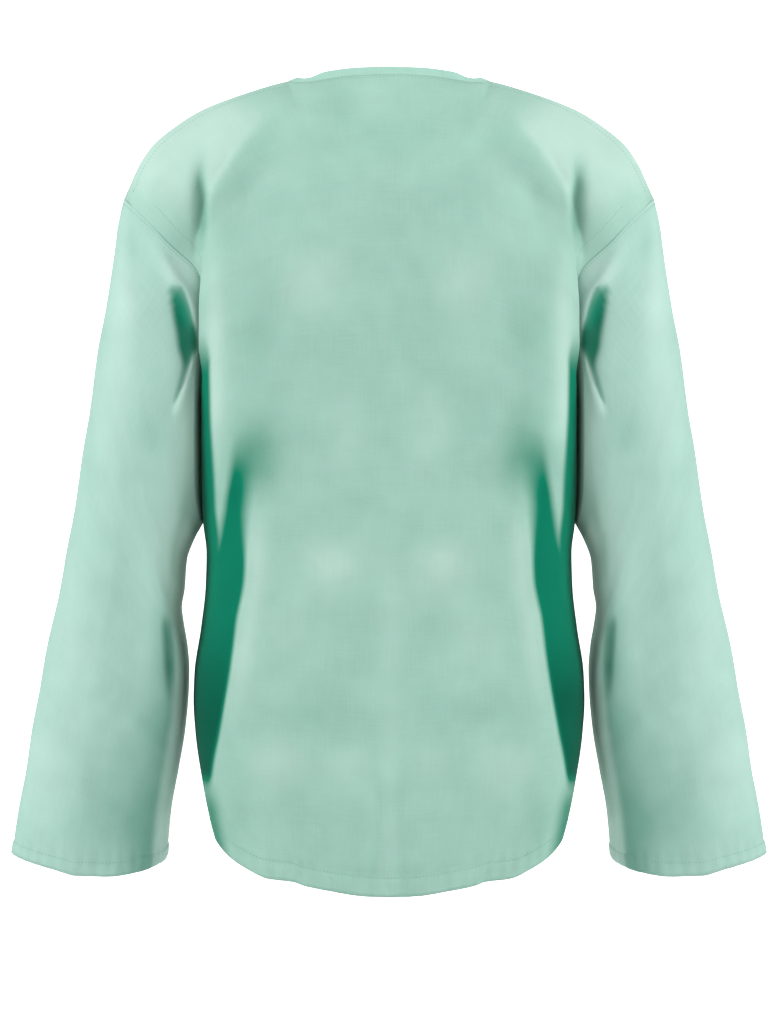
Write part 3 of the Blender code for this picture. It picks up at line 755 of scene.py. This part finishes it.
def framed(surface, a, b, hint):
    """Points of a surface, its normals turned to the hint's side, and the light painted on it."""
    a, b = np.broadcast_arrays(np.asarray(a, float), np.asarray(b, float))
    points, painted_light_and_mottle = surface(a, b)
    across = surface(a + STEP, b)[0] - surface(a - STEP, b)[0]
    down = surface(a, b + STEP)[0] - surface(a, b - STEP)[0]
    normal = unit(np.cross(across, down))
    flip = np.sum(normal * np.asarray(hint, float), axis=-1, keepdims=True) < 0
    return points, np.where(flip, -normal, normal), painted_light_and_mottle


def back_layer(s, t, inside=HALF_LAYER):
    points, normal, painted_light_and_mottle = framed(lambda a, b: body_surface(-1, a, b), s, t, (0, -1, 0))
    return points - normal * inside, normal, painted_light_and_mottle


def lap(own_x):
    """The under front drops inside the over front near the middle."""
    return LAP_DEPTH * fade(0.022, 0.06, own_x)


def front_layer(hand, own_x, t, inside=HALF_LAYER):
    """A layer of one front, by distance from the middle towards its own side."""
    s = hand * own_x / EDGE_AT(mix(TIP_Z, HEM_EDGE_Z, t))
    points, normal, painted_light_and_mottle = framed(lambda a, b: body_surface(1, a, b), s, t, (0, 1, 0))
    if hand > 0:
        inside = inside + lap(own_x)
    inside = np.broadcast_to(inside, s.shape)
    return points - normal * inside[..., None], normal, painted_light_and_mottle


def sleeve_layer(hand, t, turn):
    hint = np.stack([np.cos(turn), np.sin(turn), np.zeros_like(turn)], axis=-1)
    points, normal, painted_light_and_mottle = framed(sleeve_surface, t, turn, hint)
    return points * (hand, 1, 1), normal * (hand, 1, 1), painted_light_and_mottle


def piece(name, made, slot, body=None, blends=None, node=()):
    """Name a finished piece, hide the nodes it stands for, and tie it to its body, or with blends
    bake its place into its mesh. The slot is not used.
    """
    made.name = name
    if node:
        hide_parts(*node)
    if blends:
        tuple(blends[1])
        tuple(blends[2])
        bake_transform(made)
    else:
        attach(made, body)
    return made


def fold_blend(hand):
    """The band of cloth across a front's fold line: the front's name and the band's two ends."""
    x, z = (FOLD_TOP[0] + FOLD_HEM[0]) / 2, (FOLD_TOP[1] + FOLD_HEM[1]) / 2
    across = Vector((FOLD_TOP[1] - FOLD_HEM[1], 0, FOLD_HEM[0] - FOLD_TOP[0])).normalized()
    start = Vector((x, 0, z)) + across * FOLD_BAND / 2
    end = Vector((x, 0, z)) - across * FOLD_BAND / 2
    mirror = Matrix.Diagonal((hand, 1, 1))
    return f"front_{SIDE_WORD[hand]}", tuple(mirror @ start), tuple(mirror @ end)


def shoulder_blend(hand):
    """The band of cloth beside a sleeve's armhole, by the shoulder tip: the sleeve's name and the
    band's two ends.
    """
    (x1, z1), (x2, z2) = SHOULDER_BAND
    return f"sleeve_{SIDE_WORD[hand]}", (hand * x1, 0, z1), (hand * x2, 0, z2)


# -------------------- panels

def panel_columns(first, count):
    """Angles across a panel, evenly spaced, so that its points crowd towards its edge."""
    return mix(first, math.pi / 2, np.linspace(0, 1, count))


def back_panel():
    s, t = np.meshgrid(np.sin(panel_columns(-math.pi / 2, 261)), BODY_ROWS)
    points, painted_light_and_mottle = body_surface(-1, s, t)
    made = grid_object("back", points, BODY_CLOTH, cloth_place(points, 0, 0), painted_light_and_mottle,
                       outward=lambda p: (0, -1, 0))
    piece("back_panel_cloth", made, "body_cloth", "body", node=["back_panel"])


def front_panel(hand, word):
    """Columns run from the free edge, past the middle, to the side seam."""
    width = EDGE_AT(mix(TIP_Z, HEM_EDGE_Z, BODY_ROWS))[:, None]
    own_x = np.sin(panel_columns(np.arcsin(-OVERLAP / width), 150)) * width
    points, _, painted_light_and_mottle = front_layer(hand, own_x, BODY_ROWS[:, None])
    made = grid_object("front", points, BODY_CLOTH, cloth_place(points, 1, 0), painted_light_and_mottle,
                       outward=lambda p: (0, 1, 0))
    piece(f"front_{word}_cloth", made, "body_cloth", blends=fold_blend(hand),
          node=[f"front_{word}_side", f"front_{word}_flap"])


def front_facing(hand, word):
    own_x = mix(-OVERLAP + 0.0003, FACING_WIDTH - OVERLAP, np.linspace(0, 1, 14))
    down = np.linspace(0.004, 0.985, 220)
    points, _, painted_light_and_mottle = front_layer(hand, own_x[None, :], down[:, None], FACING_DEPTH)
    made = grid_object("facing", points, FACING_CLOTH, cloth_place(points, 2, 0), painted_light_and_mottle,
                       outward=lambda p: (0, 1, 0))
    piece(f"front_{word}_facing_cloth", made, "facing_cloth", f"front_{word}",
          node=[f"front_{word}_facing"])


def sleeve(hand, word):
    even = np.linspace(0, 1, 240)
    t, turn = np.meshgrid(even * (0.3 + 0.7 * even), np.linspace(0, 2 * math.pi, 161)[:-1],
                          indexing="ij")
    points, painted_light_and_mottle = sleeve_surface(t, turn)
    place = np.stack([turn * TUBE_RADIUS, t * OUTER_LENGTH], axis=-1)
    made = grid_object("sleeve", points * (hand, 1, 1), SLEEVE_CLOTH_PAINTED_LIGHTER, place, painted_light_and_mottle, closed=True,
                       outward=lambda p: (0, -1 if p.y < 0.01 else 1, 0))
    piece(f"sleeve_{word}_cloth", made, "sleeve_cloth", blends=shoulder_blend(hand),
          node=[f"sleeve_{word}"])


BODY_ROWS = body_rows(250)
back_panel()
for hand, word in SIDE_WORD.items():
    front_panel(hand, word)
    front_facing(hand, word)
    sleeve(hand, word)

# -------------------- neck binding

def swept(line, across, outward, profile):
    """A closed profile, as (across, outward) pairs, carried along a line of points."""
    profile = np.array(profile)
    return (line[:, None, :] + across[:, None, :] * profile[None, :, :1]
            + outward[:, None, :] * profile[None, :, 1:])


def rounded_strip(low, high, half):
    """Profile of a flat strip with round edges."""
    turn = np.linspace(-math.pi / 2, math.pi / 2, 5)
    top = [(high - half + half * math.cos(a), -half * math.sin(a)) for a in turn]
    foot = [(low + half - half * math.cos(a), half * math.sin(a)) for a in turn]
    sides = np.linspace(high - half, low + half, 6)[1:-1]
    return top + [(a, -half) for a in sides] + foot + [(a, half) for a in sides[::-1]]


def neckline(side, x):
    """Top edge of the panels at places across the neck, with its outward normal and the
    direction in which the binding stands up from it."""
    s = x / TIP_X
    if side < 0:
        points, normal, _ = back_layer(s, np.zeros_like(s))
    else:
        points, normal, _ = front_layer(1, x, np.zeros_like(s), 0.0)
    tangent = unit(np.gradient(points, axis=0))
    up = unit(np.cross(tangent, normal))
    up = np.where(up[:, 2:] < 0, -up, up)
    # towards the neck points it lies down along the shoulder
    lying = smooth(0.55, 1.0, np.abs(x) / NECK_HALF_WIDTH)[:, None]
    along_shoulder = np.stack([-np.sign(x) * 0.93, np.zeros_like(x), np.full_like(x, 0.36)], axis=-1)
    up = unit(mix(up, along_shoulder, lying))
    normal = unit(normal - up * np.sum(normal * up, axis=-1, keepdims=True))
    return points, normal, up


BINDING_PROFILE = rounded_strip(-0.0006, BAND_HEIGHT, BAND_THICKNESS / 2)
NECK_SHARE = 0.9995         # the binding ends just short of the neck points' corners


def binding(points, normal, up):
    grid = swept(points, up, normal, BINDING_PROFILE)
    length = np.concatenate([[0], np.cumsum(np.linalg.norm(np.diff(points, axis=0), axis=1))])
    around = np.linspace(0, 0.022, len(BINDING_PROFILE))
    place = np.stack(np.meshgrid(length, around, indexing="ij"), axis=-1)
    return grid_object("binding", grid, BINDING_CLOTH, place, thickness=0.0, closed=True,
                       capped=True, outward=lambda p: p - Vector((0, 0, p.z)))


edge = NECK_HALF_WIDTH * np.sin(np.linspace(-math.pi / 2, math.pi / 2, 121))
piece("neck_band_back_cloth", binding(*neckline(-1, edge * NECK_SHARE)), "neck_binding", "body",
      node=["neck_band_back"])
for hand, word in SIDE_WORD.items():
    own_x = mix(-OVERLAP, NECK_HALF_WIDTH, np.sin(np.linspace(0, math.pi / 2, 90)))
    points, normal, up = neckline(1, own_x * NECK_SHARE)
    if hand > 0:
        points = points - normal * lap(own_x)[:, None]
    band = binding(points * (hand, 1, 1), normal * (hand, 1, 1), up * (hand, 1, 1))
    piece(f"neck_band_{word}_cloth", band, "neck_binding", blends=fold_blend(hand),
          node=[f"neck_band_{word}"])

# -------------------- label

LABEL_HALF_WIDTH = 0.022
LABEL_TOP, LABEL_FOOT = -0.01, -0.042
LABEL_INSIDE = 0.0026       # from the back's outer face to the label's middle


def label():
    x, z = np.meshgrid(np.linspace(-LABEL_HALF_WIDTH, LABEL_HALF_WIDTH, 20),
                       np.linspace(LABEL_TOP, LABEL_FOOT, 14))
    top = float(top_height(-1, 0.0))
    t = (top - z) / (top - BACK_HEM[0][1])
    points, _, _ = back_layer(x / EDGE_AT(mix(TIP_Z, HEM_EDGE_Z, t)), t, LABEL_INSIDE)
    made = grid_object("label", points, LABEL_TAPE, cloth_place(points, 5, 0), thickness=0.0005,
                       outward=lambda p: (0, -1, 0))
    piece("neck_label_tape", made, "label_tape", "body", node=["neck_label"])


label()

# -------------------- press studs

CAP = [(0.0, 0.0), (0.0048, 0.0), (0.0054, 0.0002), (0.0055, 0.0005), (0.0053, 0.0008),
       (0.0046, 0.0012), (0.004, 0.0013), (0.0036, 0.0012), (0.002, 0.0014), (0.0, 0.0015)]
SOCKET = [(0.0, 0.0), (0.0046, 0.0), (0.0048, 0.0002), (0.0048, 0.0007), (0.0045, 0.0011),
          (0.0038, 0.0017), (0.0034, 0.0018), (0.0026, 0.0018), (0.0023, 0.0015),
          (0.0023, 0.0005), (0.0, 0.0005)]
STUD = [(0.0, 0.0), (0.0046, 0.0), (0.0048, 0.0002), (0.0047, 0.0005), (0.003, 0.0007),
        (0.0022, 0.001), (0.0016, 0.0013), (0.0017, 0.0019), (0.0019, 0.0024),
        (0.0017, 0.0028), (0.0012, 0.003), (0.0, 0.0031)]
RING = [(0.003, 0.0001), (0.0033, 0.0), (0.0047, 0.0), (0.005, 0.0003), (0.0049, 0.0007),
        (0.0045, 0.001), (0.004, 0.0009), (0.0032, 0.0006), (0.003, 0.0004)]
# kind, profile, its base along the outward normal, whether it faces out, its body
STUD_PARTS = (("cap", CAP, 0.0003, 1, "front_left"), ("socket", SOCKET, -0.0032, -1, "front_left"),
              ("stud", STUD, -0.0071, 1, "front_right"), ("ring", RING, -0.0106, -1, "front_right"))
STUD_ROWS = [0.09 + 0.2 * n for n in range(5)]  # shares of the way down


def lathe(profile, place, outward, facing):
    profile = np.array(profile)
    outward = np.asarray(outward)
    side = unit(np.cross(outward, (0, 0, 1)))
    up = np.cross(side, outward)
    turn = np.linspace(0, 2 * math.pi, 49)[:-1]
    ring = np.cos(turn)[None, :, None] * side + np.sin(turn)[None, :, None] * up
    grid = place + profile[:, :1, None] * ring + profile[:, 1:, None] * facing * outward
    cloth = np.stack(np.meshgrid(turn * 0.004, profile[:, 0]), axis=-1)
    made = grid_object("stud", grid, STUD_PLASTIC, cloth, thickness=0.0, closed=True)
    make_solid(made)
    return made


def make_solid(made):
    shape = bmesh.new()
    shape.from_mesh(made.data)
    bmesh.ops.remove_doubles(shape, verts=shape.verts, dist=1e-7)
    bmesh.ops.recalc_face_normals(shape, faces=shape.faces)
    shape.to_mesh(made.data)
    shape.free()
    made.data.shade_smooth()


for number, row in enumerate(STUD_ROWS):
    place, outward, _ = front_layer(-1, 0.0, row, 0.0)
    for kind, profile, base, facing, body in STUD_PARTS:
        if kind == "ring":
            profile = profile + profile[:1]
        made = lathe(profile, place + outward * base, outward, facing)
        piece(f"press_stud_{number + 1}_{kind}_round", made, "press_stud", body,
              node=[f"press_stud_{number + 1}_{kind}"])

# -------------------- stitches

STITCH_LENGTH, STITCH_GAP = 0.0022, 0.0011
STITCH_HALF_WIDTH, STITCH_RISE = 0.00026, 0.00022
STITCH_LIFT = 0.0003        # how far the stitches' ends stand off from the layer
ROW_BELOW_EDGE = 0.0015     # a hem's stitches run this far below its upper edge
ROW_TO_SEAM = 0.006         # from the shoulder seam to the row below it


def stitch_row(points, outward):
    """Vertices and faces of a row of stitches on a line of points."""
    away = np.concatenate([[0], np.cumsum(np.linalg.norm(np.diff(points, axis=0), axis=1))])
    starts = np.arange(0, away[-1] - STITCH_LENGTH, STITCH_LENGTH + STITCH_GAP)
    read = lambda at, rows: np.stack([np.interp(at, away, rows[:, k]) for k in range(3)], axis=-1)
    first, last = read(starts, points), read(starts + STITCH_LENGTH, points)
    up = unit(read(starts + STITCH_LENGTH / 2, outward))
    side = unit(np.cross(last - first, up)) * STITCH_HALF_WIDTH
    first, last = first + up * STITCH_LIFT, last + up * STITCH_LIFT
    middle = (first + last) / 2 + up * STITCH_RISE
    corners = np.stack([first, middle + side, last, middle - side,
                        middle + up * STITCH_RISE], axis=1)
    base = np.arange(len(starts))[:, None, None] * 5
    faces = base + np.array([(0, 1, 4), (1, 2, 4), (2, 3, 4), (3, 0, 4), (0, 3, 2), (0, 2, 1)])
    return corners.reshape(-1, 3), faces.reshape(-1, 3)


def stitches(name, lines, **tie):
    """One piece of several stitch rows, each on a line of a layer: points, normals, painted light.
    """
    corners, faces, count = [], [], 0
    for points, outward, _ in lines:
        made, wound = stitch_row(points, outward)
        corners.append(made)
        faces.append(wound + count)
        count += len(made)
    mesh = bpy.data.meshes.new(name)
    mesh.from_pydata(np.concatenate(corners).tolist(), [], np.concatenate(faces).tolist())
    mesh.shade_smooth()
    mesh.materials.append(THREAD)
    made = linked(name, mesh)
    return piece(name, made, None, **tie)


def hem_share(side, s):
    """t of the hem's stitch row."""
    z_top = top_height(side, s * TIP_X)
    z_hem = HEM_AT[side](np.abs(s) * HEM_END)
    return 1 - (BODY_HEM - ROW_BELOW_EDGE) / (z_top - z_hem)


def back_stitches():
    """Along the hem, under the neck binding, and beside the shoulder and armhole seams."""
    hem = np.sin(np.linspace(-1.5, 1.5, 400))
    shoulder = np.linspace(0.39, 0.985, 160)
    armhole_t = np.linspace(0.045, 0.135, 60)
    drop = ROW_TO_SEAM / (top_height(-1, shoulder * TIP_X) - HEM_AT[-1](shoulder * HEM_END))
    lines = [back_layer(hem, hem_share(-1, hem), 0.0)]
    for hand in SIDE_WORD:
        lines.append(back_layer(hand * shoulder, drop, 0.0))
        lines.append(back_layer(np.full_like(armhole_t, hand * 0.972), armhole_t, 0.0))
    neck_x = np.linspace(-0.09, 0.09, 160)
    lines.append(back_layer(neck_x / TIP_X, np.full_like(neck_x, 0.0032), 0.0))
    stitches("stitches_back", lines, body="body")


def front_stitches(hand, word):
    """Along the hem, both edges of the facing, and under the neck binding."""
    width = EDGE_AT(mix(TIP_Z, HEM_EDGE_Z, 0.97))
    hem_x = mix(-OVERLAP + 0.001, width * 0.985, np.linspace(0, 1, 260))
    down = np.linspace(0.006, 0.975, 400)
    neck_x = np.linspace(-OVERLAP + 0.002, 0.088, 120)
    lines = [front_layer(hand, hem_x, hem_share(1, hem_x / width)),
             front_layer(hand, np.full_like(down, 0.0025 - OVERLAP), down),
             front_layer(hand, np.full_like(down, FACING_WIDTH - OVERLAP - 0.002), down),
             front_layer(hand, neck_x, np.full_like(neck_x, 0.0035))]
    stitches(f"stitches_front_{word}", lines, blends=fold_blend(hand))


def sleeve_stitches(hand, word):
    """Round the cuff's hem, and beside the armhole seam at the back and at the front."""
    around = np.linspace(0, 2 * math.pi, 400)
    length = mix(INNER.length, OUTER.length, (1 + np.cos(around)) / 2)
    head = np.linspace(1.02 * math.pi, 1.97 * math.pi, 240)
    beside_seam = np.full_like(head, 0.006)
    lines = [sleeve_layer(hand, 1 - (CUFF_HEM - ROW_BELOW_EDGE) / length, around),
             sleeve_layer(hand, beside_seam, head),
             sleeve_layer(hand, beside_seam, head - math.pi * 0.995)]
    stitches(f"stitches_sleeve_{word}", lines, blends=shoulder_blend(hand))


back_stitches()
for hand, word in SIDE_WORD.items():
    front_stitches(hand, word)
    sleeve_stitches(hand, word)

# -------------------- stage

FLOOR_Z = -1.25
BACKDROP_Y = 9.0            # beyond the cameras that look at the front


def plane(name, corners, colour, glow=0.0):
    mesh = bpy.data.meshes.new(name)
    mesh.from_pydata(corners, [], [(0, 1, 2, 3)])
    made = linked(name, mesh)
    nodes = Nodes(name)
    nodes.settings(Base_Color=colour, Roughness=0.9, Emission_Color=(1, 1, 1),
                   Emission_Strength=glow)
    mesh.materials.append(nodes.material)


plane("floor", [(-5, -5, FLOOR_Z), (5, -5, FLOOR_Z), (5, 1.9, FLOOR_Z), (-5, 1.9, FLOOR_Z)],
      (0.85, 0.85, 0.85))
plane("backdrop", [(-4.5, BACKDROP_Y, -6), (4.5, BACKDROP_Y, -6), (4.5, BACKDROP_Y, 4.5),
                   (-4.5, BACKDROP_Y, 4.5)], (0.9, 0.9, 0.9), glow=1.0)


def area_light(name, place, towards, size, power):
    light = bpy.data.lights.new(name, "AREA")
    light.shape = "RECTANGLE"
    light.size, light.size_y = size
    light.energy = power
    made = linked(name, light)
    made.location = place
    made.rotation_mode = "QUATERNION"
    made.rotation_quaternion = (Vector(towards) - Vector(place)).to_track_quat("-Z", "Y")


for hand, word in SIDE_WORD.items():
    area_light(f"side_{word}", (hand * 2.3, -0.95, 0.75), (hand * 0.1, 0, -0.3), (1.0, 1.3), 50)
area_light("fill", (0, -3.4, 0.3), (0, 0, -0.4), (2.4, 1.6), 9)
area_light("top", (0, -0.5, 2.4), (0, 0, -0.3), (2.0, 1.2), 8)
area_light("front", (0, 2.8, 0.6), (0, 0, -0.4), (3.0, 2.0), 25)

world = bpy.data.worlds.new("studio")
bpy.context.scene.world = world
world.use_nodes = True
world.node_tree.nodes["Background"].inputs["Color"].default_value = (1, 1, 1, 1)
world.node_tree.nodes["Background"].inputs["Strength"].default_value = 0.62
bpy.context.scene.view_settings.view_transform = "Standard"

camera_data = bpy.data.cameras.new("camera")
camera_data.sensor_width = 36.0
camera_data.lens = 36.0 * VIEW_DISTANCE / VIEW_TALL
camera = linked("camera", camera_data)
camera.location = (VIEW_X, -VIEW_DISTANCE, VIEW_HEIGHT)
camera.rotation_euler = (math.pi / 2, 0, 0)
bpy.context.scene.camera = camera
